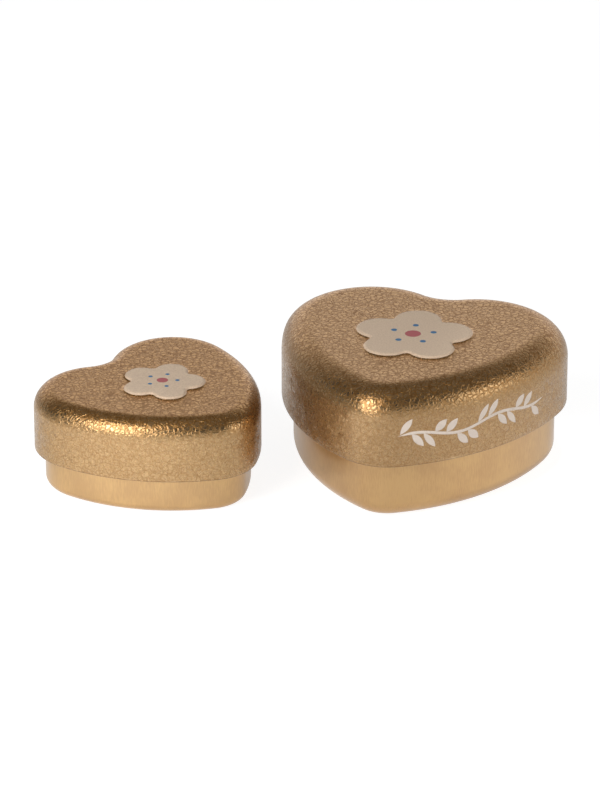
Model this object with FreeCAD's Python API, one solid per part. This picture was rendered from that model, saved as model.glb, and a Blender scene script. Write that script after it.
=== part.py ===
"""Two heart-shaped keepsake tins, a large and a small one, each a drawn base with a slip lid.

The origin is on the table under the middle of the large tin. Its tip points to -Y and its notch to +Y.
"""
import FreeCAD, Part
import math
import os

from FreeCAD import Vector

# Tinplate and fits, the same on both tins
SHEET = 0.3
SLIP_CLEARANCE = 0.3  # lid's hem to the base's rolled rim, all round
SEAT_CLEARANCE = 0.15  # lid's shoulder to the rolled rim that carries it
HEM_HEIGHT = 1.6  # folded lower edge of a lid
RIM_TURN = 300.0  # degrees that the rim's sheet is rolled through

# Raised blossom on both lids
EMBOSS_HEIGHT = 0.7
EMBOSS_RAMP = 0.8  # width of the slope round the raised area
PETALS = 5
PETAL_GAP_RADIUS = 1.0  # rounding between two petals
BLOSSOM_SHIFT = 1.2  # blossom's middle from the lid's middle, towards the notch
BLOSSOM_TURN = 8.0  # degrees that the first petal leans from +Y

# Large tin
LARGE_WIDTH = 75.0  # lid, across the lobes
LARGE_LENGTH = 72.0  # lid, tip to lobe tops
LARGE_LOBE_RADIUS = 23.3
LARGE_NOTCH_RADIUS = 7.7
LARGE_TIP_RADIUS = 13.7
LARGE_FLANK_RADIUS = 62.0
LARGE_HEIGHT = 36.2  # table to the lid's flat top
LARGE_LID_HEIGHT = 20.2
LARGE_SHOULDER_RADIUS = 8.0
LARGE_FOOT_RADIUS = 4.7
LARGE_RIM = 2.5  # outer diameter of the rolled rim
LARGE_BLOSSOM_RADIUS = 15.8  # to the petals' ends
LARGE_PETAL_RADIUS = 6.4

# Small tin
SMALL_WIDTH = 59.5
SMALL_LENGTH = 55.7
SMALL_LOBE_RADIUS = 16.7
SMALL_NOTCH_RADIUS = 7.5
SMALL_TIP_RADIUS = 12.7
SMALL_FLANK_RADIUS = 48.8
SMALL_HEIGHT = 26.4
SMALL_LID_HEIGHT = 16.3
SMALL_SHOULDER_RADIUS = 5.3
SMALL_FOOT_RADIUS = 2.5
SMALL_RIM = 2.1
SMALL_BLOSSOM_RADIUS = 11.3
SMALL_PETAL_RADIUS = 4.6

# Where the small tin stands
TIN_GAP = 7.0  # between the two lids where they are closest
SMALL_SIDE = 203.3  # direction from the large tin's middle, in degrees from +X
SMALL_TURN = 62.6  # degrees that it is turned against the large tin


class Arc:
    """Part of a circle in an outline that runs anticlockwise; a hollow arc curves into the shape."""

    def __init__(self, centre, radius, start, end, hollow=False):
        self.centre = centre
        self.radius = radius
        self.start = start
        self.end = end
        self.hollow = hollow

    def edge(self, inset, z):
        radius = self.radius + inset if self.hollow else self.radius - inset
        points = []
        for angle in (self.start, (self.start + self.end) / 2, self.end):
            offset = Vector(radius * math.cos(angle), radius * math.sin(angle), z)
            points.append(self.centre + offset)
        return Part.Arc(*points).toShape()

    def swept(self, section):
        """Solid of a section, given by its inset from the outline and its height, round this arc."""
        sign = 1 if self.hollow else -1
        face = section(lambda inset, z: Vector(self.radius + sign * inset, 0, z))
        start = min(self.start, self.end)
        solid = face.revolve(Vector(), Vector(0, 0, 1), math.degrees(abs(self.end - self.start)))
        solid.rotate(Vector(), Vector(0, 0, 1), math.degrees(start))
        solid.translate(self.centre)
        return solid


def angle_of(vector):
    return math.atan2(vector.y, vector.x)


def circles_meet(first, first_radius, second, second_radius):
    """Both points at the given distances from two points."""
    apart = second - first
    along = (first_radius**2 - second_radius**2 + apart.Length**2) / (2 * apart.Length)
    across = math.sqrt(first_radius**2 - along**2)
    unit = apart / apart.Length
    side = Vector(-unit.y, unit.x, 0)
    return first + unit * along + side * across, first + unit * along - side * across


def heart(width, length, lobe_radius, notch_radius, tip_radius, flank_radius):
    """Heart of tangent arcs about the middle of its box, tip towards -Y."""
    lobe = Vector(width / 2 - lobe_radius, length / 2 - lobe_radius, 0)
    tip = Vector(0, tip_radius - length / 2, 0)
    notch = Vector(0, lobe.y + math.sqrt((lobe_radius + notch_radius) ** 2 - lobe.x**2), 0)
    flank = min(
        circles_meet(lobe, flank_radius - lobe_radius, tip, flank_radius - tip_radius),
        key=lambda point: point.x,
    )
    tip_end = angle_of(tip - flank)
    flank_end = angle_of(lobe - flank)
    lobe_end = angle_of(notch - lobe)
    right = [
        Arc(flank, flank_radius, tip_end, flank_end),
        Arc(lobe, lobe_radius, flank_end, lobe_end),
    ]
    left = []
    for arc in reversed(right):
        centre = Vector(-arc.centre.x, arc.centre.y, 0)
        left.append(Arc(centre, arc.radius, math.pi - arc.end, math.pi - arc.start))
    notch_arc = Arc(notch, notch_radius, lobe_end - math.pi, -lobe_end, hollow=True)
    tip_arc = Arc(tip, tip_radius, -math.pi - tip_end, tip_end)
    return right + [notch_arc] + left + [tip_arc]


def blossom(reach, petal_radius):
    """Flower about the origin, its petals and the roundings between them tangent arcs."""
    step = 2 * math.pi / PETALS
    petal_distance = reach - petal_radius
    half_gap = petal_distance * math.sin(step / 2)
    rise = math.sqrt((PETAL_GAP_RADIUS + petal_radius) ** 2 - half_gap**2)
    gap_distance = petal_distance * math.cos(step / 2) + rise
    gap_half = math.atan2(half_gap, rise)
    petal_half = step / 2 + gap_half
    arcs = []
    for number in range(PETALS):
        petal_angle = math.pi / 2 + math.radians(BLOSSOM_TURN) + number * step
        gap_angle = petal_angle + step / 2
        inward = gap_angle + math.pi
        petal = Vector(math.cos(petal_angle), math.sin(petal_angle), 0) * petal_distance
        gap = Vector(math.cos(gap_angle), math.sin(gap_angle), 0) * gap_distance
        arcs.append(Arc(petal, petal_radius, petal_angle - petal_half, petal_angle + petal_half))
        arcs.append(Arc(gap, PETAL_GAP_RADIUS, inward + gap_half, inward - gap_half, hollow=True))
    return arcs


def wire(outline, inset, z):
    return Part.Wire([arc.edge(inset, z) for arc in outline])


def plate(outline, inset, z):
    face = Part.Face(wire(outline, inset, z))
    return face.extrude(Vector(0, 0, SHEET))


def sheet_shell(outline, section, panel):
    """A section swept all round an outline and closed by a flat panel."""
    walls = [arc.swept(section) for arc in outline]
    return panel.multiFuse(walls).removeSplitter()


def raised(motif, z):
    """Block with sloped sides that stands on a height, for the outside or inside of the embossing."""
    lower = wire(motif, 0, z)
    upper = wire(motif, EMBOSS_RAMP, z + EMBOSS_HEIGHT)
    block = Part.makeLoft([lower, upper], True, True)
    block.translate(Vector(0, BLOSSOM_SHIFT, 0))
    return block


def arc_edge(place, centre, radius, start, end):
    """Arc of a section between two angles in degrees, counted from the inset direction upwards."""
    points = []
    for angle in (start, (start + end) / 2, end):
        turn = math.radians(angle)
        points.append(place(centre[0] + radius * math.cos(turn), centre[1] + radius * math.sin(turn)))
    return Part.Arc(*points).toShape()


def line_edge(place, first, second):
    return Part.makeLine(place(*first), place(*second))


class Tin:
    """One tin in its own frame: the middle of its outline at the origin, standing on z = 0."""

    def __init__(self, outline, height, lid_height, shoulder, foot, rim, motif):
        self.outline = outline
        self.height = height
        self.lid_bottom = height - lid_height
        self.shoulder = shoulder
        self.foot = foot
        self.rim_radius = rim / 2
        self.motif = motif
        # The rolled rim's outer side runs inside the lid's hem, and the wall is under its inner side.
        self.rim_inset = 2 * SHEET + SLIP_CLEARANCE + self.rim_radius
        self.wall_inset = self.rim_inset + self.rim_radius - SHEET
        # The lid's inner shoulder rests on the rolled rim.
        reach = shoulder - SHEET - self.rim_radius - SEAT_CLEARANCE
        aside = shoulder - self.rim_inset
        self.rim_height = height - shoulder + math.sqrt(reach**2 - aside**2)

    def lid_section(self, place):
        shoulder_middle = (self.shoulder, self.height - self.shoulder)
        hem_middle = (SHEET, self.lid_bottom + SHEET)
        hem_top = self.lid_bottom + HEM_HEIGHT
        corners = [
            (2 * SHEET, hem_middle[1]),
            (2 * SHEET, hem_top),
            (SHEET, hem_top),
            (SHEET, shoulder_middle[1]),
        ]
        edges = [
            arc_edge(place, shoulder_middle, self.shoulder, 90, 180),
            line_edge(place, (0, shoulder_middle[1]), (0, hem_middle[1])),
            arc_edge(place, hem_middle, SHEET, 180, 360),
        ]
        for first, second in zip(corners, corners[1:]):
            edges.append(line_edge(place, first, second))
        edges.append(arc_edge(place, shoulder_middle, self.shoulder - SHEET, 180, 90))
        edges.append(
            line_edge(place, (self.shoulder, self.height - SHEET), (self.shoulder, self.height))
        )
        return Part.Face(Part.Wire(edges))

    def base_section(self, place):
        foot_middle = (self.wall_inset + self.foot, self.foot)
        rim_middle = (self.rim_inset, self.rim_height)
        rim_inner = self.rim_radius - SHEET
        turn = math.radians(RIM_TURN)
        rim_end = []
        for radius in (rim_inner, self.rim_radius):
            rim_end.append(
                (rim_middle[0] + radius * math.cos(turn), rim_middle[1] + radius * math.sin(turn))
            )
        wall_inner = self.wall_inset + SHEET
        edges = [
            arc_edge(place, foot_middle, self.foot, 270, 180),
            line_edge(place, (self.wall_inset, self.foot), (self.wall_inset, self.rim_height)),
            arc_edge(place, rim_middle, rim_inner, 0, RIM_TURN),
            line_edge(place, rim_end[0], rim_end[1]),
            arc_edge(place, rim_middle, self.rim_radius, RIM_TURN, 0),
            line_edge(place, (wall_inner, self.rim_height), (wall_inner, self.foot)),
            arc_edge(place, foot_middle, self.foot - SHEET, 180, 270),
            line_edge(place, (foot_middle[0], SHEET), (foot_middle[0], 0)),
        ]
        return Part.Face(Part.Wire(edges))

    def base(self):
        panel = plate(self.outline, self.wall_inset + self.foot, 0)
        return sheet_shell(self.outline, self.base_section, panel)

    def lid(self):
        panel = plate(self.outline, self.shoulder, self.height - SHEET)
        lid = sheet_shell(self.outline, self.lid_section, panel)
        outside = raised(self.motif, self.height)
        inside = raised(self.motif, self.height - SHEET)
        return lid.fuse(outside).cut(inside).removeSplitter()


def stand_beside(large, small):
    """Placement of the small tin at the stated gap from the large one, along the stated direction."""
    turn = FreeCAD.Rotation(Vector(0, 0, 1), SMALL_TURN)
    side = math.radians(SMALL_SIDE)
    direction = Vector(math.cos(side), math.sin(side), 0)
    large_face = Part.Face(wire(large.outline, 0, 0))
    small_face = Part.Face(wire(small.outline, 0, 0))
    near = 0.0
    far = LARGE_WIDTH + LARGE_LENGTH + SMALL_WIDTH + SMALL_LENGTH
    while far - near > 0.001:
        middle = (near + far) / 2
        small_face.Placement = FreeCAD.Placement(direction * middle, turn)
        if large_face.distToShape(small_face)[0] < TIN_GAP:
            near = middle
        else:
            far = middle
    return small_face.Placement


large_tin = Tin(
    heart(
        LARGE_WIDTH,
        LARGE_LENGTH,
        LARGE_LOBE_RADIUS,
        LARGE_NOTCH_RADIUS,
        LARGE_TIP_RADIUS,
        LARGE_FLANK_RADIUS,
    ),
    LARGE_HEIGHT,
    LARGE_LID_HEIGHT,
    LARGE_SHOULDER_RADIUS,
    LARGE_FOOT_RADIUS,
    LARGE_RIM,
    blossom(LARGE_BLOSSOM_RADIUS, LARGE_PETAL_RADIUS),
)
small_tin = Tin(
    heart(
        SMALL_WIDTH,
        SMALL_LENGTH,
        SMALL_LOBE_RADIUS,
        SMALL_NOTCH_RADIUS,
        SMALL_TIP_RADIUS,
        SMALL_FLANK_RADIUS,
    ),
    SMALL_HEIGHT,
    SMALL_LID_HEIGHT,
    SMALL_SHOULDER_RADIUS,
    SMALL_FOOT_RADIUS,
    SMALL_RIM,
    blossom(SMALL_BLOSSOM_RADIUS, SMALL_PETAL_RADIUS),
)
small_place = stand_beside(large_tin, small_tin)

os.makedirs("parts", exist_ok=True)
nodes = {
    "large_base": large_tin.base(),
    "large_lid": large_tin.lid(),
    "small_base": small_tin.base(),
    "small_lid": small_tin.lid(),
}
for name, shape in nodes.items():
    if name.startswith("small"):
        shape.Placement = small_place.multiply(shape.Placement)
    shape.exportStep("parts/" + name + ".step")
    box = shape.BoundBox
    print(name, shape.isValid(), len(shape.Solids), round(shape.Volume, 1), box)
print("small tin at", small_place.Base)
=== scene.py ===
"""Looks of the two heart-shaped tins: smooth skins, lacquers, print, light and camera."""

import math

import bpy
import numpy as np
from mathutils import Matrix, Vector


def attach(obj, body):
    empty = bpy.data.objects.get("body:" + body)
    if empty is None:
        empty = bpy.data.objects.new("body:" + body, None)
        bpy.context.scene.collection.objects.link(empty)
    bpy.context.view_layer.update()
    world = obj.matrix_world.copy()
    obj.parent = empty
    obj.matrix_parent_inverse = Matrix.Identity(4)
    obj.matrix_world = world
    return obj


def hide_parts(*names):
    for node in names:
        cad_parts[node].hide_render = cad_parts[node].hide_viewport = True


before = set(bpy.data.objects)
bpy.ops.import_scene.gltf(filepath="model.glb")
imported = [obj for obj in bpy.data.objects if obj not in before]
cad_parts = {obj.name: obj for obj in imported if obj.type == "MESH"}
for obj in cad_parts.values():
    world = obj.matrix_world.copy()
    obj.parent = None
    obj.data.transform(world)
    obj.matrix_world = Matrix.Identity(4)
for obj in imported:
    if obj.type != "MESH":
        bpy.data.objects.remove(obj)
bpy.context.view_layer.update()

# Sizes of the tins, as in the part's source, in millimetres and degrees
MM = 0.001
SHEET = 0.3
SLIP_CLEARANCE = 0.3
SEAT_CLEARANCE = 0.15
HEM_HEIGHT = 1.6
RIM_TURN = 300.0
EMBOSS_HEIGHT = 0.7
EMBOSS_RAMP = 0.8
PETALS = 5
PETAL_GAP_RADIUS = 1.0
BLOSSOM_SHIFT = 1.2
BLOSSOM_TURN = 8.0
LARGE = dict(
    name="large", width=75.0, length=72.0, lobe=23.3, notch=7.7, tip=13.7, flank=62.0,
    height=36.2, lid_height=20.2, shoulder=8.0, foot=4.7, rim=2.5,
    blossom=15.8, petal=6.4, place=(0.0, 0.0), turn=0.0,
)
SMALL = dict(
    name="small", width=59.5, length=55.7, lobe=16.7, notch=7.5, tip=12.7, flank=48.8,
    height=26.4, lid_height=16.3, shoulder=5.3, foot=2.5, rim=2.1,
    blossom=11.3, petal=4.6, place=(-58.188, -25.060), turn=62.6,
)

# Paint on the blossom, as shares of its reach
MIDDLE_RADIUS = 0.13
DOT_DISTANCE = 0.34
DOT_RADIUS = 0.05

# Sprig printed on the large lid, in millimetres and degrees
SPRIG_START = -2.5  # from the right flank's lower end, so it starts on the tip
SPRIG_STEP = 6.2
SPRIG_STEPS = 8
SPRIG_LENGTH = SPRIG_STEP * SPRIG_STEPS
SPRIG_MARGIN = 3.0  # of the printed zone past both ends
SPRIG_HEIGHT = 8.0  # above the lid's lower edge
SPRIG_CLIMB = 0.02  # upwards in each millimetre along
SPRIG_WAVE = 4 * SPRIG_STEP  # along one wave, which swings 1 mm up and down
STEM_TAPER = (0.0, 6.0, -0.1, 0.42)  # two distances from an end, then the half width at each
LEAF_LEAN = 48.0
LEAF_MIDDLE = (1.0, 2.1)  # from the stem at the middle of a step
LEAF_HALF_LENGTH = 2.4
LEAF_HALF_WIDTH = 0.98
NO_LEAF = 2.0  # distance outside a leaf that stands for having none

# Points of the skins
AROUND = 400  # round a tin's outline
BLOSSOM_AROUND = 300
RINGS = dict(
    top=72, shoulder=17, skirt=5, hem=9, inner_skirt=2, inner_shoulder=11, inner_top=44,
    bottom=12, foot=13, wall=5, inner_rim=21, rim=29, inner_foot=11,
)
SMALLEST_RING = dict(top=0.012, inner_top=0.02, bottom=0.05)  # as a share of a flat panel's edge
SHARP_ANGLE = 50.0  # degrees from which an edge between faces is sharp
ENAMEL_BAND = 0.1  # enamel lies no further below the lid's flat top, in millimetres
NO_ENAMEL = 9.0  # added to the distance from the blossom below that band, in millimetres


# Outlines

def circles_meet(first, first_radius, second, second_radius):
    """Both points at the given distances from two points."""
    apart = second - first
    distance = np.hypot(*apart)
    along = (first_radius**2 - second_radius**2 + distance**2) / (2 * distance)
    across = math.sqrt(first_radius**2 - along**2)
    unit = apart / distance
    side = np.array([-unit[1], unit[0]])
    return first + unit * along + side * across, first + unit * along - side * across


def angle_of(vector):
    """Direction of a flat vector in radians."""
    return math.atan2(vector[1], vector[0])


def heart(sizes):
    """Arcs (centre, radius, start, end, hollow) of a heart about the middle of its box, anticlockwise."""
    lobe = np.array([sizes["width"] / 2 - sizes["lobe"], sizes["length"] / 2 - sizes["lobe"]])
    tip = np.array([0.0, sizes["tip"] - sizes["length"] / 2])
    notch = np.array([0.0, lobe[1] + math.sqrt((sizes["lobe"] + sizes["notch"]) ** 2 - lobe[0] ** 2)])
    meets = circles_meet(lobe, sizes["flank"] - sizes["lobe"], tip, sizes["flank"] - sizes["tip"])
    flank = min(meets, key=lambda point: point[0])
    tip_end = angle_of(tip - flank)
    flank_end = angle_of(lobe - flank)
    lobe_end = angle_of(notch - lobe)
    right = [
        (flank, sizes["flank"], tip_end, flank_end, False),
        (lobe, sizes["lobe"], flank_end, lobe_end, False),
    ]
    left = []
    for centre, radius, start, end, hollow in reversed(right):
        left.append((centre * [-1, 1], radius, math.pi - end, math.pi - start, hollow))
    notch_arc = (notch, sizes["notch"], lobe_end - math.pi, -lobe_end, True)
    tip_arc = (tip, sizes["tip"], -math.pi - tip_end, tip_end, False)
    return right + [notch_arc] + left + [tip_arc]


def walk(arcs, count):
    """Evenly spaced points, outward normals and run along an outline of arcs."""
    lengths = np.array([radius * abs(end - start) for _, radius, start, end, _ in arcs])
    ends = np.cumsum(lengths)
    run = np.linspace(0, ends[-1], count, endpoint=False)
    which = np.searchsorted(ends, run, side="right")
    points = np.zeros((count, 2))
    normals = np.zeros((count, 2))
    for i, (distance, number) in enumerate(zip(run, which)):
        centre, radius, start, end, hollow = arcs[number]
        share = (distance - (ends[number] - lengths[number])) / lengths[number]
        angle = start + (end - start) * share
        ray = np.array([math.cos(angle), math.sin(angle)])
        points[i] = centre + radius * ray
        normals[i] = -ray if hollow else ray
    return points, normals, run


def petal_angles():
    """Directions of the blossom's petals in radians."""
    first = math.pi / 2 + math.radians(BLOSSOM_TURN)
    return [first + 2 * math.pi * number / PETALS for number in range(PETALS)]


def blossom(reach, petal_radius):
    """Arcs of a flower about the origin."""
    step = 2 * math.pi / PETALS
    petal_distance = reach - petal_radius
    half_gap = petal_distance * math.sin(step / 2)
    rise = math.sqrt((PETAL_GAP_RADIUS + petal_radius) ** 2 - half_gap**2)
    gap_distance = petal_distance * math.cos(step / 2) + rise
    gap_half = math.atan2(half_gap, rise)
    petal_half = step / 2 + gap_half
    arcs = []
    for angle in petal_angles():
        between = angle + step / 2
        petal = np.array([math.cos(angle), math.sin(angle)]) * petal_distance
        gap = np.array([math.cos(between), math.sin(between)]) * gap_distance
        arcs.append((petal, petal_radius, angle - petal_half, angle + petal_half, False))
        inward = between + math.pi
        arcs.append((gap, PETAL_GAP_RADIUS, inward + gap_half, inward - gap_half, True))
    return arcs


def turned(points, degrees):
    """Flat points turned anticlockwise about the origin."""
    angle = math.radians(degrees)
    cosine, sine = math.cos(angle), math.sin(angle)
    return points @ np.array([[cosine, sine], [-sine, cosine]])


def signed_distance(points, outline):
    """Distance of points from a closed outline, negative inside."""
    steps = np.roll(outline, -1, axis=0) - outline
    best = np.full(len(points), np.inf)
    inside = np.zeros(len(points), bool)
    for start, step in zip(outline, steps):
        offset = points - start
        along = np.clip(offset @ step / (step @ step), 0, 1)
        best = np.minimum(best, np.hypot(*(offset - along[:, None] * step).T))
        crosses = (start[1] > points[:, 1]) != (start[1] + step[1] > points[:, 1])
        slope = step[0] / step[1] if step[1] else 0.0
        inside ^= crosses & (points[:, 0] < start[0] + (points[:, 1] - start[1]) * slope)
    return np.where(inside, -best, best)


# Meshes

def arc_profile(centre, radius, start, end, count):
    """Points (inset, height) of an arc of a section, angles in degrees."""
    angles = np.radians(np.linspace(start, end, count))
    rays = np.column_stack([np.cos(angles), np.sin(angles)])
    return [tuple(np.array(centre) + radius * ray) for ray in rays]


def line_profile(first, second, count):
    """Points of a section's line, without its ends."""
    shares = np.linspace(0, 1, count + 2)[1:-1]
    return [tuple(np.array(first) + (np.array(second) - np.array(first)) * share) for share in shares]


class Tin:
    """Shared measures of one tin, and its rings of points."""

    def __init__(self, sizes):
        self.sizes = sizes
        self.points, self.normals, self.run = walk(heart(sizes), AROUND)
        self.height = sizes["height"]
        self.bottom = sizes["height"] - sizes["lid_height"]
        self.shoulder = sizes["shoulder"]
        self.foot = sizes["foot"]
        self.rim_radius = sizes["rim"] / 2
        self.rim_inset = 2 * SHEET + SLIP_CLEARANCE + self.rim_radius
        self.wall_inset = self.rim_inset + self.rim_radius - SHEET
        reach = self.shoulder - SHEET - self.rim_radius - SEAT_CLEARANCE
        aside = self.shoulder - self.rim_inset
        self.rim_height = self.height - self.shoulder + math.sqrt(reach**2 - aside**2)

    def ring(self, inset, z):
        """Points round the tin at an inset and a height."""
        flat = self.points - inset * self.normals
        return np.column_stack([flat, np.full(len(flat), z)])

    def panel(self, inset, z, shares):
        """Rings of a flat panel at shares of its edge."""
        edge = self.ring(inset, z)
        return [np.column_stack([edge[:, :2] * share, edge[:, 2]]) for share in shares]

    def to_blossom(self, points):
        """Distance of points from the blossom's outline in the tin's own frame, negative inside."""
        outline = walk(blossom(self.sizes["blossom"], self.sizes["petal"]), BLOSSOM_AROUND)[0]
        return signed_distance(points[:, :2], outline + [0, BLOSSOM_SHIFT])

    def to_dots(self, points, middles, radius):
        """Distance of points from the nearest of some round dots on the blossom, negative inside."""
        flat = points[:, :2] - [0, BLOSSOM_SHIFT]
        return np.min([np.hypot(*(flat - middle).T) for middle in middles], axis=0) - radius

    def along(self, points):
        """Run of points along the outline from the sprig's start, the jump being on the left flank."""
        whole = len(points) // AROUND
        around = 2 * self.run[-1] - self.run[-2]
        run = (self.run - SPRIG_START + around / 4) % around - around / 4
        return np.concatenate([np.tile(run, whole), np.zeros(len(points) - whole * AROUND)])

    def placed(self, points):
        """Points moved from the tin's own frame to the set's."""
        flat = turned(points[:, :2], self.sizes["turn"]) + np.array(self.sizes["place"])
        return np.column_stack([flat, points[:, 2]])


def linked(name, data):
    """New object in the scene."""
    item = bpy.data.objects.new(name, data)
    bpy.context.scene.collection.objects.link(item)
    return item


def skin_faces(bands):
    """Faces of bands between rings, then a fan at both ends, and the material number of each face."""
    sides = [(i, (i + 1) % AROUND) for i in range(AROUND)]
    faces = []
    numbers = []
    for band, number in enumerate(bands):
        low = band * AROUND
        high = low + AROUND
        for here, after in sides:
            faces.append((low + here, high + here, high + after, low + after))
            numbers.append(number)
    top = len(bands) * AROUND
    first = top + AROUND
    last = first + 1
    for here, after in sides:
        faces.append((first, here, after))
        faces.append((last, top + after, top + here))
        numbers += [bands[0], bands[-1]]
    return faces, numbers


def skin(name, tin, rings, marks, materials, bands):
    """Closed mesh over rings of points, with marks on the points and a material number for each band."""
    ends = [rings[0].mean(axis=0), rings[-1].mean(axis=0)]
    points = np.concatenate(rings + [np.array(ends)])
    faces, numbers = skin_faces(bands)
    mesh = bpy.data.meshes.new(name)
    mesh.from_pydata((tin.placed(points) * MM).tolist(), [], faces)
    for mark, values in marks(tin, points).items():
        layer = mesh.attributes.new(mark, "FLOAT", "POINT")
        layer.data.foreach_set("value", np.asarray(values, np.float32))
    mesh.polygons.foreach_set("use_smooth", np.ones(len(faces), bool))
    for material in materials:
        mesh.materials.append(material)
    mesh.polygons.foreach_set("material_index", np.array(numbers, np.int32))
    mesh.set_sharp_from_angle(angle=math.radians(SHARP_ANGLE))
    mesh.validate()
    return linked(name, mesh)


def raise_emblem(tin, rings):
    """Rings of a flat panel with the blossom raised on it."""
    points = np.concatenate(rings)
    share = np.clip(-tin.to_blossom(points) / EMBOSS_RAMP, 0, 1)
    points[:, 2] += EMBOSS_HEIGHT * share * share * (3 - 2 * share)
    return np.split(points, len(rings))


def sprig_zone(tin, points):
    """1 where the sprig is printed: along the large lid's right side from the tip on."""
    if tin.sizes is not LARGE:
        return np.zeros(len(points))
    along = tin.along(points)
    return ((along > -SPRIG_MARGIN) & (along < SPRIG_LENGTH + SPRIG_MARGIN)).astype(float)


def lid_marks(tin, points):
    """A lid's marks in millimetres, but for printed (0 or 1) and crown (0 on the skirt to 1 on the top)."""
    height = points[:, 2]
    reach = tin.sizes["blossom"]
    middle = [np.zeros(2)]
    rays = [np.array([math.cos(angle), math.sin(angle)]) for angle in petal_angles()]
    dots = [ray * reach * DOT_DISTANCE for ray in rays]
    return {
        "enamel": tin.to_blossom(points) + np.where(height > tin.height - ENAMEL_BAND, 0, NO_ENAMEL),
        "rose": tin.to_dots(points, middle, reach * MIDDLE_RADIUS),
        "blue": tin.to_dots(points, dots, reach * DOT_RADIUS),
        "rise": height - tin.bottom,
        "along": tin.along(points),
        "printed": sprig_zone(tin, points),
        "crown": np.clip((height - (tin.height - tin.shoulder)) / tin.shoulder, 0, 1),
    }


def base_marks(tin, points):
    """Rise of a base's points from the table."""
    return {"rise": points[:, 2]}


def lid_skin(tin, materials):
    """Lid from the middle of its top down the outside, round the hem and up the inside."""
    middle = (tin.shoulder, tin.height - tin.shoulder)
    hem = (SHEET, tin.bottom + SHEET)
    hem_top = tin.bottom + HEM_HEIGHT
    top_shares = np.linspace(SMALLEST_RING["top"], 1, RINGS["top"])
    inner_shares = np.linspace(1, SMALLEST_RING["inner_top"], RINGS["inner_top"])
    outside = arc_profile(middle, tin.shoulder, 90, 180, RINGS["shoulder"])[1:]
    outside += line_profile((0, middle[1]), (0, hem[1]), RINGS["skirt"])
    outside += arc_profile(hem, SHEET, 180, 360, RINGS["hem"])
    inside = [(2 * SHEET, hem_top), (SHEET, hem_top)]
    inside += line_profile((SHEET, hem_top), (SHEET, middle[1]), RINGS["inner_skirt"])
    inside += arc_profile(middle, tin.shoulder - SHEET, 180, 90, RINGS["inner_shoulder"])[:-1]
    outer_rings = raise_emblem(tin, tin.panel(tin.shoulder, tin.height, top_shares))
    outer_rings += [tin.ring(*point) for point in outside]
    inner_rings = [tin.ring(*point) for point in inside]
    inner_rings += raise_emblem(tin, tin.panel(tin.shoulder, tin.height - SHEET, inner_shares))
    bands = [0] * len(outer_rings) + [1] * (len(inner_rings) - 1)
    return skin(tin.sizes["name"] + "_lid_skin", tin, outer_rings + inner_rings, lid_marks, materials, bands)


def base_skin(tin, materials):
    """Base from the middle of its underside up the outside, round the rim and down the inside."""
    middle = (tin.wall_inset + tin.foot, tin.foot)
    rim = (tin.rim_inset, tin.rim_height)
    inner = tin.wall_inset + SHEET
    under = tin.panel(middle[0], 0, np.linspace(SMALLEST_RING["bottom"], 1, RINGS["bottom"]))
    profile = arc_profile(middle, tin.foot, 270, 180, RINGS["foot"])[1:]
    profile += line_profile((tin.wall_inset, tin.foot), (tin.wall_inset, tin.rim_height), RINGS["wall"])
    profile += arc_profile(rim, tin.rim_radius - SHEET, 0, RIM_TURN, RINGS["inner_rim"])
    profile += arc_profile(rim, tin.rim_radius, RIM_TURN, 0, RINGS["rim"])
    profile += line_profile((inner, tin.rim_height), (inner, tin.foot), RINGS["wall"])
    profile += arc_profile(middle, tin.foot - SHEET, 180, 270, RINGS["inner_foot"])[:-1]
    inside = tin.panel(middle[0], SHEET, np.linspace(1, SMALLEST_RING["bottom"], RINGS["bottom"]))
    rings = under + [tin.ring(*point) for point in profile] + inside
    bands = [0] * (len(rings) - 1)
    return skin(tin.sizes["name"] + "_base_skin", tin, rings, base_marks, materials, bands)


# Materials

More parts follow.
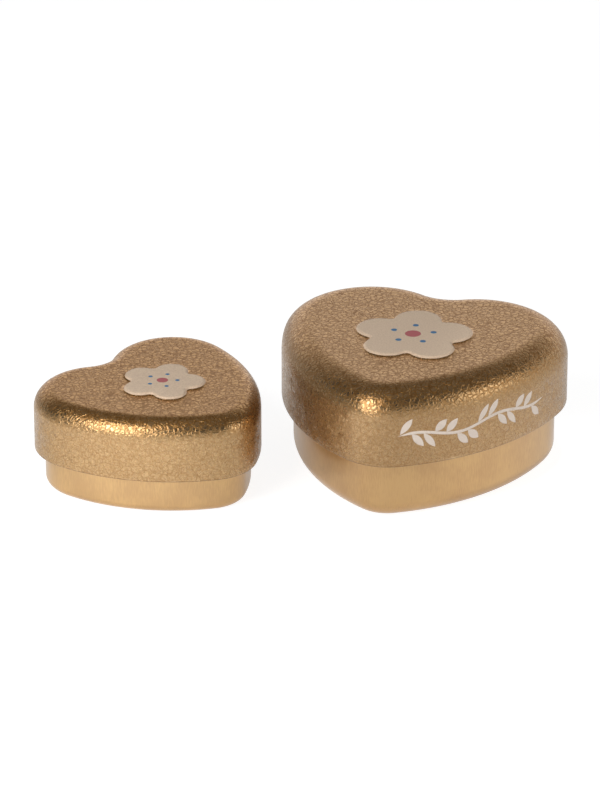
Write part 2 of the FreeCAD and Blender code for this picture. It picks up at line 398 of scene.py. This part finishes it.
class Nodes:
    """Short way to add and join a material's nodes."""

    def __init__(self, material):
        material.use_nodes = True
        self.tree = material.node_tree
        self.tree.nodes.clear()

    def feed(self, socket, value):
        """Link a socket to another, or set its number or colour."""
        if isinstance(value, bpy.types.NodeSocket):
            self.tree.links.new(value, socket)
        else:
            socket.default_value = value

    def add(self, kind, settings=None, **inputs):
        """New node, its inputs given by name with _ for a space, or by number after a leading _."""
        node = self.tree.nodes.new(kind)
        for name, value in (settings or {}).items():
            setattr(node, name, value)
        for name, value in inputs.items():
            key = int(name[1:]) if name.startswith("_") else name.replace("_", " ")
            self.feed(node.inputs[key], value)
        return node

    def math(self, operation, *values):
        node = self.add("ShaderNodeMath", {"operation": operation})
        for socket, value in zip(node.inputs, values):
            self.feed(socket, value)
        return node.outputs[0]

    def vector(self, operation, first, second):
        """Sum of two vectors or the like; a vector is scaled by a number."""
        node = self.add("ShaderNodeVectorMath", {"operation": operation}, _0=first)
        self.feed(node.inputs["Scale" if operation == "SCALE" else 1], second)
        return node.outputs["Value" if operation == "DOT_PRODUCT" else "Vector"]

    def ramp(self, value, low, high, out_low=0.0, out_high=1.0):
        """Smooth change from out_low to out_high while a value goes from low to high."""
        node = self.add(
            "ShaderNodeMapRange", {"interpolation_type": "SMOOTHSTEP"},
            Value=value, From_Min=low, From_Max=high, To_Min=out_low, To_Max=out_high,
        )
        return node.outputs["Result"]

    def mix(self, share, first, second):
        """Colour at a share of the way from the first to the second."""
        return self.add("ShaderNodeMix", {"data_type": "RGBA"}, _0=share, _6=first, _7=second).outputs[2]

    def mark(self, name):
        """Number that a skin's points carry."""
        return self.add("ShaderNodeAttribute", {"attribute_name": name}).outputs["Fac"]

    def noise(self, place, scale, detail=2.0, output="Fac"):
        return self.add("ShaderNodeTexNoise", Vector=place, Scale=scale, Detail=detail).outputs[output]

    def bump(self, height):
        """Normal of a surface with a relief in metres."""
        return self.add("ShaderNodeBump", Strength=1.0, Distance=1.0, Height=height).outputs["Normal"]

    def finish(self, shader, kind="ShaderNodeOutputMaterial"):
        self.add(kind, Surface=shader.outputs[0])


def linear(red, green, blue):
    """Colour from screen values of 0 to 255."""
    levels = []
    for value in (red, green, blue):
        share = value / 255
        levels.append(share / 12.92 if share <= 0.04045 else ((share + 0.055) / 1.055) ** 2.4)
    return (*levels, 1.0)


# Colours: a lid's top, skirt and painted glints, and the deep and pale satin of a base and of a lid's inside;
# the small tin's skirt, glints and satin are lighter, as painted light for the brighter light on it
LACQUER_AND_LIGHT_TONES = {
    "large": dict(
        top=linear(217, 171, 117), skirt=linear(168, 135, 94), glint=linear(198, 163, 114),
        deep=linear(187, 148, 100), pale=linear(202, 163, 110),
    ),
    "small": dict(
        top=linear(216, 166, 107), skirt=linear(180, 146, 102), glint=linear(210, 174, 122),
        deep=linear(195, 157, 108), pale=linear(211, 172, 118),
    ),
}
CRACK_BROWN = linear(146, 92, 22)
# Painted shadow: dark line along a lid's lower edge
HEM_SHADOW_BROWN = linear(118, 84, 44)
# Pale gold of a lid's lower edge, part wear and part painted highlight
WEAR_AND_HIGHLIGHT_GOLD = linear(230, 200, 156)
WORN_SATIN = linear(226, 196, 152)
ENAMEL_DEEP = linear(222, 195, 167)
ENAMEL_PALE = linear(237, 211, 183)
ENAMEL_ROSE = linear(190, 98, 100)
ENAMEL_BLUE = linear(70, 122, 164)
PRINT_WHITE = linear(240, 224, 210)
MIDDLE_GREY = (0.5, 0.5, 0.5)

# Textures: features to a metre, reach and heights in metres
WARP_SCALE = 700.0
WARP_REACH = 0.0012
BREAK_SCALE = 800.0
# Width is a share of a cell, and breaks are the levels of noise for no line and for a whole line
COARSE_CRACKS = dict(scale=680.0, width=0.16, strength=1.0, breaks=(0.3, 0.5))
FINE_CRACKS = dict(scale=1150.0, width=0.21, strength=0.9, breaks=(0.6, 0.4))
CRACK_HEIGHT = -0.00004
PEBBLE_SCALE = 2100.0
SPECK_SCALE = 2600.0
SPECK_HEIGHT = 0.00003
PATCH_SCALE = 160.0
PRINT_FILL = 0.7  # share of the relief that the print hides
SATIN_STRETCH = (1.0, 1.0, 0.12)
SATIN_SPECK_SCALE = 4200.0
SATIN_SPECK_HEIGHT = 0.00001
SATIN_SPECK_SHARE = 0.4
CLOUD_SCALE = 90.0

# Changes with crown: its two values, then the outcome at each
CELL_LEAN = (0.0, 0.3, 0.26, 0.033)
PEBBLE_HEIGHT = (0.0, 0.35, 0.00010, 0.000033)
SKIRT_DEPTH = (0.0, 0.4, 0.6, 1.0)
TOP_DEPTH = (0.85, 1.0, 1.0, 0.6)
TOP_SHARE = (0.5, 1.0, 0.0, 1.0)
CRACK_SHADE = (0.3, 0.95, 0.42, 0.85)
GLINT_SHARE = (0.0, 0.6, 0.45, 0.0)
GOLD_ROUGHNESS = (0.0, 0.3, 0.27, 0.26)
GOLD_METAL = (0.0, 0.35, 0.80, 0.97)
GOLD_COAT = (0.0, 0.5, 0.5, 0.1)

# Changes with a distance or a rise in millimetres, in the same order
ENAMEL_EDGE = (-0.35, -0.2, 1.0, 0.0)
DOT_EDGE = (-0.08, 0.08, 1.0, 0.0)
PRINT_EDGE = (-0.05, 0.1, 0.0, 1.0)
# Wear along a lid's lower edge, part of it a painted highlight
LID_WEAR_AND_HIGHLIGHT = (0.3, 0.8, 0.4, 0.0)
# Painted shadow line along a lid's lower edge
LID_SHADOW_LINE = (0.1, 0.4, 0.75, 0.0)
BASE_WEAR = (0.05, 0.5, 0.5, 0.0)

# Changes with a noise's level, in the same order
GLINT_PEBBLES = (0.35, 0.7, 0.0, 1.0)
WEAR_AND_HIGHLIGHT_PATCHES = (0.5, 0.75, 0.0, 1.0)
WORN_SPECKS = (0.4, 0.6, 0.0, 1.0)
ENAMEL_SPECKS = (0.3, 0.7, 0.0, 1.0)
SATIN_TONES = (0.35, 0.65, 0.0, 1.0)
SATIN_ROUGHNESS = (0.3, 0.7, 0.28, 0.34)

# Shine
CRACK_ROUGHNESS = 0.12  # added in the cracks
ENAMEL_ROUGHNESS = 0.6
CRACKLE_COAT_ROUGHNESS = 0.15
SATIN_METAL = 0.8
SATIN_COAT = 0.5
SATIN_COAT_ROUGHNESS = 0.12


def leaves(nodes, along, height, shift, side):
    """Depth inside a row of leaves, one to a step, on alternate sides of the stem."""
    run = nodes.math("SUBTRACT", along, shift)
    number = nodes.math("FLOOR", nodes.math("DIVIDE", run, SPRIG_STEP))
    step_middle = nodes.math("MULTIPLY", nodes.math("ADD", number, 0.5), SPRIG_STEP)
    odd = nodes.math("FLOORED_MODULO", number, 2.0)
    up = nodes.math("MULTIPLY", height, nodes.math("MULTIPLY_ADD", odd, -2.0 * side, side))
    x = nodes.math("SUBTRACT", nodes.math("SUBTRACT", run, step_middle), LEAF_MIDDLE[0])
    y = nodes.math("SUBTRACT", up, LEAF_MIDDLE[1])
    cosine = math.cos(math.radians(LEAF_LEAN))
    sine = math.sin(math.radians(LEAF_LEAN))
    length = nodes.math("ADD", nodes.math("MULTIPLY", x, cosine), nodes.math("MULTIPLY", y, sine))
    across = nodes.math("ADD", nodes.math("MULTIPLY", x, -sine), nodes.math("MULTIPLY", y, cosine))
    share = nodes.math("DIVIDE", length, LEAF_HALF_LENGTH)
    square = nodes.math("MULTIPLY", share, share)
    half_width = nodes.math("MULTIPLY_ADD", square, -LEAF_HALF_WIDTH, LEAF_HALF_WIDTH)
    inside = nodes.math("SUBTRACT", half_width, nodes.math("ABSOLUTE", across))
    begun = nodes.math("GREATER_THAN", run, 0.0)
    going = nodes.math("LESS_THAN", run, SPRIG_STEP * (SPRIG_STEPS - 1))
    in_row = nodes.math("MULTIPLY", begun, going)
    return nodes.math("SUBTRACT", nodes.math("MULTIPLY", nodes.math("ADD", inside, NO_LEAF), in_row), NO_LEAF)


def sprig(nodes, rise):
    """1 on the printed sprig: a waving stem with leaves."""
    along = nodes.mark("along")
    wave = nodes.math("SINE", nodes.math("MULTIPLY", along, 2 * math.pi / SPRIG_WAVE))
    climb = nodes.math("MULTIPLY", along, SPRIG_CLIMB)
    height = nodes.math("SUBTRACT", nodes.math("SUBTRACT", rise, SPRIG_HEIGHT), climb)
    height = nodes.math("SUBTRACT", height, wave)
    from_end = nodes.math("MINIMUM", along, nodes.math("SUBTRACT", SPRIG_LENGTH, along))
    half_width = nodes.ramp(from_end, *STEM_TAPER)
    depth = nodes.math("SUBTRACT", half_width, nodes.math("ABSOLUTE", height))
    for shift, side in ((0.0, 1.0), (SPRIG_STEP / 2, -1.0)):
        depth = nodes.math("MAXIMUM", depth, leaves(nodes, along, height, shift, side))
    in_zone = nodes.math("GREATER_THAN", nodes.mark("printed"), 0.5)
    return nodes.math("MULTIPLY", nodes.ramp(depth, *PRINT_EDGE), in_zone)


def crack_lines(nodes, place, bent):
    """1 on broken, bent crack lines of two sizes."""
    broken = nodes.noise(place, BREAK_SCALE, detail=1.0)
    lines = []
    for cracks in (COARSE_CRACKS, FINE_CRACKS):
        cells = nodes.add(
            "ShaderNodeTexVoronoi", {"feature": "DISTANCE_TO_EDGE"}, Vector=bent, Scale=cracks["scale"],
        )
        line = nodes.ramp(cells.outputs["Distance"], 0.0, cracks["width"], cracks["strength"], 0.0)
        lines.append(nodes.math("MULTIPLY", line, nodes.ramp(broken, *cracks["breaks"])))
    return nodes.math("MAXIMUM", *lines)


def crackle_relief(nodes, bent, crown, crack, pebble):
    """Height of the crackled ground: cells that each lean a little, cracks between them, and pebbles."""
    cells = nodes.add("ShaderNodeTexVoronoi", Vector=bent, Scale=COARSE_CRACKS["scale"]).outputs
    lean = nodes.vector("SUBTRACT", cells["Color"], MIDDLE_GREY)
    reach = nodes.vector("SUBTRACT", bent, cells["Position"])
    facet = nodes.math("MULTIPLY", nodes.vector("DOT_PRODUCT", lean, reach), nodes.ramp(crown, *CELL_LEAN))
    groove = nodes.math("MULTIPLY", crack, CRACK_HEIGHT)
    depth = nodes.math("MULTIPLY", nodes.ramp(crown, *SKIRT_DEPTH), nodes.ramp(crown, *TOP_DEPTH))
    relief = nodes.math("MULTIPLY", nodes.math("ADD", facet, groove), depth)
    grain = nodes.math("MULTIPLY", pebble, nodes.ramp(crown, *PEBBLE_HEIGHT))
    return nodes.math("ADD", relief, grain)


def crackle_colour(nodes, lit_lacquer, place, crown, rise, crack, pebble):
    """Gold that is darker in the cracks, has painted glints on the skirt, and at the lower edge has pale
    patches of wear and painted highlight, then a painted shadow line.
    """
    gold = nodes.mix(nodes.ramp(crown, *TOP_SHARE), lit_lacquer["skirt"], lit_lacquer["top"])
    shade = nodes.math("MULTIPLY", crack, nodes.ramp(crown, *CRACK_SHADE))
    gold = nodes.mix(shade, gold, CRACK_BROWN)
    # Painted glints: lighter gold in pebbly spots on the skirt
    glint = nodes.math("MULTIPLY", nodes.ramp(pebble, *GLINT_PEBBLES), nodes.ramp(crown, *GLINT_SHARE))
    gold = nodes.mix(glint, gold, lit_lacquer["glint"])
    # Pale patches near the lower edge: wear and a painted highlight of the hem
    patch = nodes.noise(place, PATCH_SCALE, detail=3.0)
    worn = nodes.math("MULTIPLY", nodes.ramp(rise, *LID_WEAR_AND_HIGHLIGHT), nodes.ramp(patch, *WEAR_AND_HIGHLIGHT_PATCHES))
    gold = nodes.mix(worn, gold, WEAR_AND_HIGHLIGHT_GOLD)
    # Painted shadow: dark line at the lower edge
    return nodes.mix(nodes.ramp(rise, *LID_SHADOW_LINE), gold, HEM_SHADOW_BROWN)


def blossom_paint(nodes, speck):
    """Off-white enamel with a rose middle and blue dots."""
    paint = nodes.mix(nodes.ramp(speck, *ENAMEL_SPECKS), ENAMEL_DEEP, ENAMEL_PALE)
    for mark, colour in (("rose", ENAMEL_ROSE), ("blue", ENAMEL_BLUE)):
        paint = nodes.mix(nodes.ramp(nodes.mark(mark), *DOT_EDGE), paint, colour)
    return paint


def crackle_gold(name, lit_lacquer):
    """Gold lacquer over a crackled ground, matt enamel on the raised blossom and on the printed sprig."""
    material = bpy.data.materials.new(name)
    nodes = Nodes(material)
    place = nodes.add("ShaderNodeTexCoord").outputs["Object"]
    crown = nodes.mark("crown")
    rise = nodes.mark("rise")
    speck = nodes.noise(place, SPECK_SCALE)
    pebble = nodes.noise(place, PEBBLE_SCALE)
    warp = nodes.vector("SUBTRACT", nodes.noise(place, WARP_SCALE, output="Color"), MIDDLE_GREY)
    bent = nodes.vector("ADD", place, nodes.vector("SCALE", warp, WARP_REACH))
    crack = crack_lines(nodes, place, bent)
    raised = nodes.ramp(nodes.mark("enamel"), *ENAMEL_EDGE)
    printed = sprig(nodes, rise)
    enamel = nodes.math("MAXIMUM", raised, printed)

    # Relief, hidden by the enamel, which has fine specks of its own
    filled = nodes.math("MULTIPLY", printed, PRINT_FILL)
    bare = nodes.math("SUBTRACT", nodes.math("SUBTRACT", 1.0, raised), filled)
    relief = nodes.math("MULTIPLY", crackle_relief(nodes, bent, crown, crack, pebble), bare)
    specks = nodes.math("MULTIPLY", nodes.math("MULTIPLY", speck, SPECK_HEIGHT), raised)
    normal = nodes.bump(nodes.math("ADD", relief, specks))

    # Colour and shine
    gold = crackle_colour(nodes, lit_lacquer, place, crown, rise, crack, pebble)
    paint = nodes.mix(raised, PRINT_WHITE, blossom_paint(nodes, speck))
    crack_rough = nodes.math("MULTIPLY", crack, CRACK_ROUGHNESS)
    gold_rough = nodes.math("ADD", nodes.ramp(crown, *GOLD_ROUGHNESS), crack_rough)
    rough = nodes.math("MAXIMUM", gold_rough, nodes.math("MULTIPLY", enamel, ENAMEL_ROUGHNESS))
    metal = nodes.math("MULTIPLY", nodes.math("SUBTRACT", 1.0, enamel), nodes.ramp(crown, *GOLD_METAL))
    coat = nodes.math("MULTIPLY", metal, nodes.ramp(crown, *GOLD_COAT))
    shader = nodes.add(
        "ShaderNodeBsdfPrincipled", Base_Color=nodes.mix(enamel, gold, paint), Metallic=metal,
        Roughness=rough, Normal=normal, Coat_Weight=coat, Coat_Roughness=CRACKLE_COAT_ROUGHNESS,
        Coat_Normal=normal,
    )
    nodes.finish(shader)
    return material


def satin_gold(name, lit_lacquer):
    """Smooth satin gold lacquer, a little worn low down; its tones are lighter on the small tin, as painted
    light.
    """
    material = bpy.data.materials.new(name)
    nodes = Nodes(material)
    place = nodes.add("ShaderNodeTexCoord").outputs["Object"]
    speck = nodes.noise(nodes.vector("MULTIPLY", place, SATIN_STRETCH), SATIN_SPECK_SCALE)
    cloud = nodes.noise(place, CLOUD_SCALE, detail=3.0)
    speck_tone = nodes.math("MULTIPLY", speck, SATIN_SPECK_SHARE)
    tone = nodes.math("ADD", speck_tone, nodes.math("MULTIPLY", cloud, 1 - SATIN_SPECK_SHARE))
    gold = nodes.mix(nodes.ramp(tone, *SATIN_TONES), lit_lacquer["deep"], lit_lacquer["pale"])
    low = nodes.ramp(nodes.mark("rise"), *BASE_WEAR)
    worn = nodes.math("MULTIPLY", low, nodes.ramp(speck, *WORN_SPECKS))
    shader = nodes.add(
        "ShaderNodeBsdfPrincipled", Base_Color=nodes.mix(worn, gold, WORN_SATIN), Metallic=SATIN_METAL,
        Roughness=nodes.ramp(cloud, *SATIN_ROUGHNESS), Coat_Weight=SATIN_COAT,
        Coat_Roughness=SATIN_COAT_ROUGHNESS,
        Normal=nodes.bump(nodes.math("MULTIPLY", speck, SATIN_SPECK_HEIGHT)),
    )
    nodes.finish(shader)
    return material


# Pieces

for sizes in (LARGE, SMALL):
    tin = Tin(sizes)
    name = sizes["name"]
    # Tones of each tin, the small tin's lighter as painted light
    crackle = crackle_gold("crackle_gold_" + name, LACQUER_AND_LIGHT_TONES[name])
    satin = satin_gold("satin_gold_" + name, LACQUER_AND_LIGHT_TONES[name])
    lid = lid_skin(tin, [crackle, satin])
    base = base_skin(tin, [satin])
    for piece, node, slot in ((lid, name + "_lid", "lid_gold"), (base, name + "_base", "base_gold")):
        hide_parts(node)
        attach(piece, node)


# Studio, in metres

WHITE = (1.0, 1.0, 1.0, 1.0)
FLOOR_REACH = 4.0
FLOOR_LEVEL = -0.00005
FLOOR_GREY = 0.8
SEEN_FLOOR = (0.36, 0.885)  # grey and glow for the camera
MIRRORED_FLOOR = (0.7, 0.48)  # grey and glow in reflections
# Walls: sine of the angle above the horizon, and the grey there
REAR_WALL = (
    (0.0, 1.0), (0.13, 0.98), (0.38, 0.80), (0.58, 0.40), (0.72, 0.10), (0.9, 0.05), (0.98, 0.2),
)
FRONT_WALL = (
    (0.0, 1.0), (0.15, 1.0), (0.28, 0.80), (0.39, 0.36), (0.48, 0.08), (0.6, 0.02), (0.98, 0.2),
)
REARWARD = (-0.2925, 0.956, 0.0)  # the photograph's line of sight, level
LEFTWARD = (-0.956, -0.2925, 0.0)
REAR_SHARE = (0.2, 0.9, 0.0, 1.0)  # two cosines of the angle from rearward, then the share at each
LEFT_DIMMING = (0.35, 0.95, 1.0, 0.32)  # the same from leftward
LAMP_TARGET = Vector((-0.03, -0.01, 0.02))
SPILL_HEIGHT = 0.3
SPILL_LAMP_RADIUS = 0.01
CAMERA_AZIMUTH = math.radians(17.01)
CAMERA_ELEVATION = math.radians(24.68)
CAMERA_DISTANCE = 1.2954
CAMERA_TARGET = Vector((-0.03926, 0.03051, 0.0))
CAMERA_LENS = 218.3  # millimetres, as is the sensor
CAMERA_SENSOR = 36.0
CAMERA_CLIP_END = 20.0


def grey_colour(grey):
    """Colour of one level."""
    return (grey, grey, grey, 1.0)


def floor_material():
    """White floor that looks white to the camera and pale in reflections, and keeps a soft shadow."""
    material = bpy.data.materials.new("studio_floor")
    nodes = Nodes(material)
    paths = nodes.add("ShaderNodeLightPath").outputs
    mirrored = nodes.math("MAXIMUM", paths["Is Glossy Ray"], paths["Is Transmission Ray"])

    def lit(grey, strength):
        """Paper of a grey with a glow of its own."""
        paper = nodes.add("ShaderNodeBsdfDiffuse", Color=grey_colour(grey))
        glow = nodes.add("ShaderNodeEmission", Color=WHITE, Strength=strength)
        return nodes.add("ShaderNodeAddShader", _0=paper.outputs[0], _1=glow.outputs[0]).outputs[0]

    plain = nodes.add("ShaderNodeBsdfDiffuse", Color=grey_colour(FLOOR_GREY)).outputs[0]
    seen = nodes.add("ShaderNodeMixShader", _0=paths["Is Camera Ray"], _1=plain, _2=lit(*SEEN_FLOOR))
    mixed = nodes.add("ShaderNodeMixShader", _0=mirrored, _1=seen.outputs[0], _2=lit(*MIRRORED_FLOOR))
    nodes.finish(mixed)
    return material


def floor_plane():
    """Square of floor just under the tins."""
    mesh = bpy.data.meshes.new("floor")
    corners = [(x * FLOOR_REACH, y * FLOOR_REACH, 0) for x, y in ((-1, -1), (1, -1), (1, 1), (-1, 1))]
    mesh.from_pydata(corners, [], [(0, 1, 2, 3)])
    mesh.materials.append(floor_material())
    plane = linked("floor", mesh)
    plane.location = (0, 0, FLOOR_LEVEL)
    return plane


def wall_grey(nodes, up, stops):
    """Grey of a wall by its height."""
    ramp = nodes.add("ShaderNodeValToRGB", Fac=up)
    while len(ramp.color_ramp.elements) < len(stops):
        ramp.color_ramp.elements.new(0.5)
    for stop, (height, grey) in zip(ramp.color_ramp.elements, stops):
        stop.position = height
        stop.color = grey_colour(grey)
    return ramp.outputs["Color"]


def studio_world():
    """Pale walls round the table, brightest behind it and dim on the left, and a dark ceiling."""
    world = bpy.data.worlds.new("studio")
    bpy.context.scene.world = world
    nodes = Nodes(world)
    way = nodes.add("ShaderNodeTexCoord").outputs["Generated"]
    up = nodes.add("ShaderNodeSeparateXYZ", Vector=way).outputs["Z"]
    rear_share = nodes.ramp(nodes.vector("DOT_PRODUCT", way, REARWARD), *REAR_SHARE)
    dimming = nodes.ramp(nodes.vector("DOT_PRODUCT", way, LEFTWARD), *LEFT_DIMMING)
    walls = nodes.mix(rear_share, wall_grey(nodes, up, FRONT_WALL), wall_grey(nodes, up, REAR_WALL))
    level = nodes.math("MULTIPLY", walls, dimming)
    background = nodes.add("ShaderNodeBackground", Color=WHITE, Strength=level)
    nodes.finish(background, "ShaderNodeOutputWorld")


def aim(item, way):
    """Turn a lamp or the camera to look along a direction."""
    item.rotation_euler = way.to_track_quat("-Z", "Y").to_euler()


def lamp(name, place, size, power):
    """Area lamp that points at the tins."""
    data = bpy.data.lights.new(name, "AREA")
    data.shape = "RECTANGLE"
    data.size, data.size_y = size
    data.energy = power
    item = linked(name, data)
    item.location = place
    aim(item, LAMP_TARGET - Vector(place))


def spill(name, place, radius, level):
    """Pool of light on the floor, kept out of reflections, as thrown by a lamp or a tin's bright side."""
    data = bpy.data.lights.new(name, "SPOT")
    data.spot_size = 2 * math.atan(radius / SPILL_HEIGHT)
    data.spot_blend = 1.0
    data.shadow_soft_size = SPILL_LAMP_RADIUS
    data.energy = level * (2 * math.pi * SPILL_HEIGHT) ** 2
    item = linked(name, data)
    item.location = (*place, SPILL_HEIGHT)
    item.visible_glossy = False


def photo_camera():
    """Camera at the photograph's place."""
    data = bpy.data.cameras.new("camera")
    data.sensor_width = CAMERA_SENSOR
    data.lens = CAMERA_LENS
    data.clip_end = CAMERA_CLIP_END
    back = Vector((
        math.sin(CAMERA_AZIMUTH) * math.cos(CAMERA_ELEVATION),
        -math.cos(CAMERA_AZIMUTH) * math.cos(CAMERA_ELEVATION),
        math.sin(CAMERA_ELEVATION),
    ))
    camera = linked("camera", data)
    camera.location = CAMERA_TARGET + back * CAMERA_DISTANCE
    aim(camera, -back)
    return camera


floor = floor_plane()
studio_world()
lamp("softbox", place=(-0.178, -0.345, 0.262), size=(0.18, 0.26), power=1.2)
lamp("fill_card", place=(0.765, -0.024, 0.40), size=(0.4, 0.3), power=1.0)
spill("softbox_spill", place=(-0.105, -0.21), radius=0.18, level=0.7)
spill("fill_spill", place=(0.17, -0.02), radius=0.16, level=0.2)
spill("small_spill", place=(-0.066, -0.086), radius=0.058, level=0.45)
spill("large_spill", place=(0.054, -0.004), radius=0.055, level=0.3)
bpy.context.scene.camera = photo_camera()
bpy.context.scene.view_settings.view_transform = "Standard"
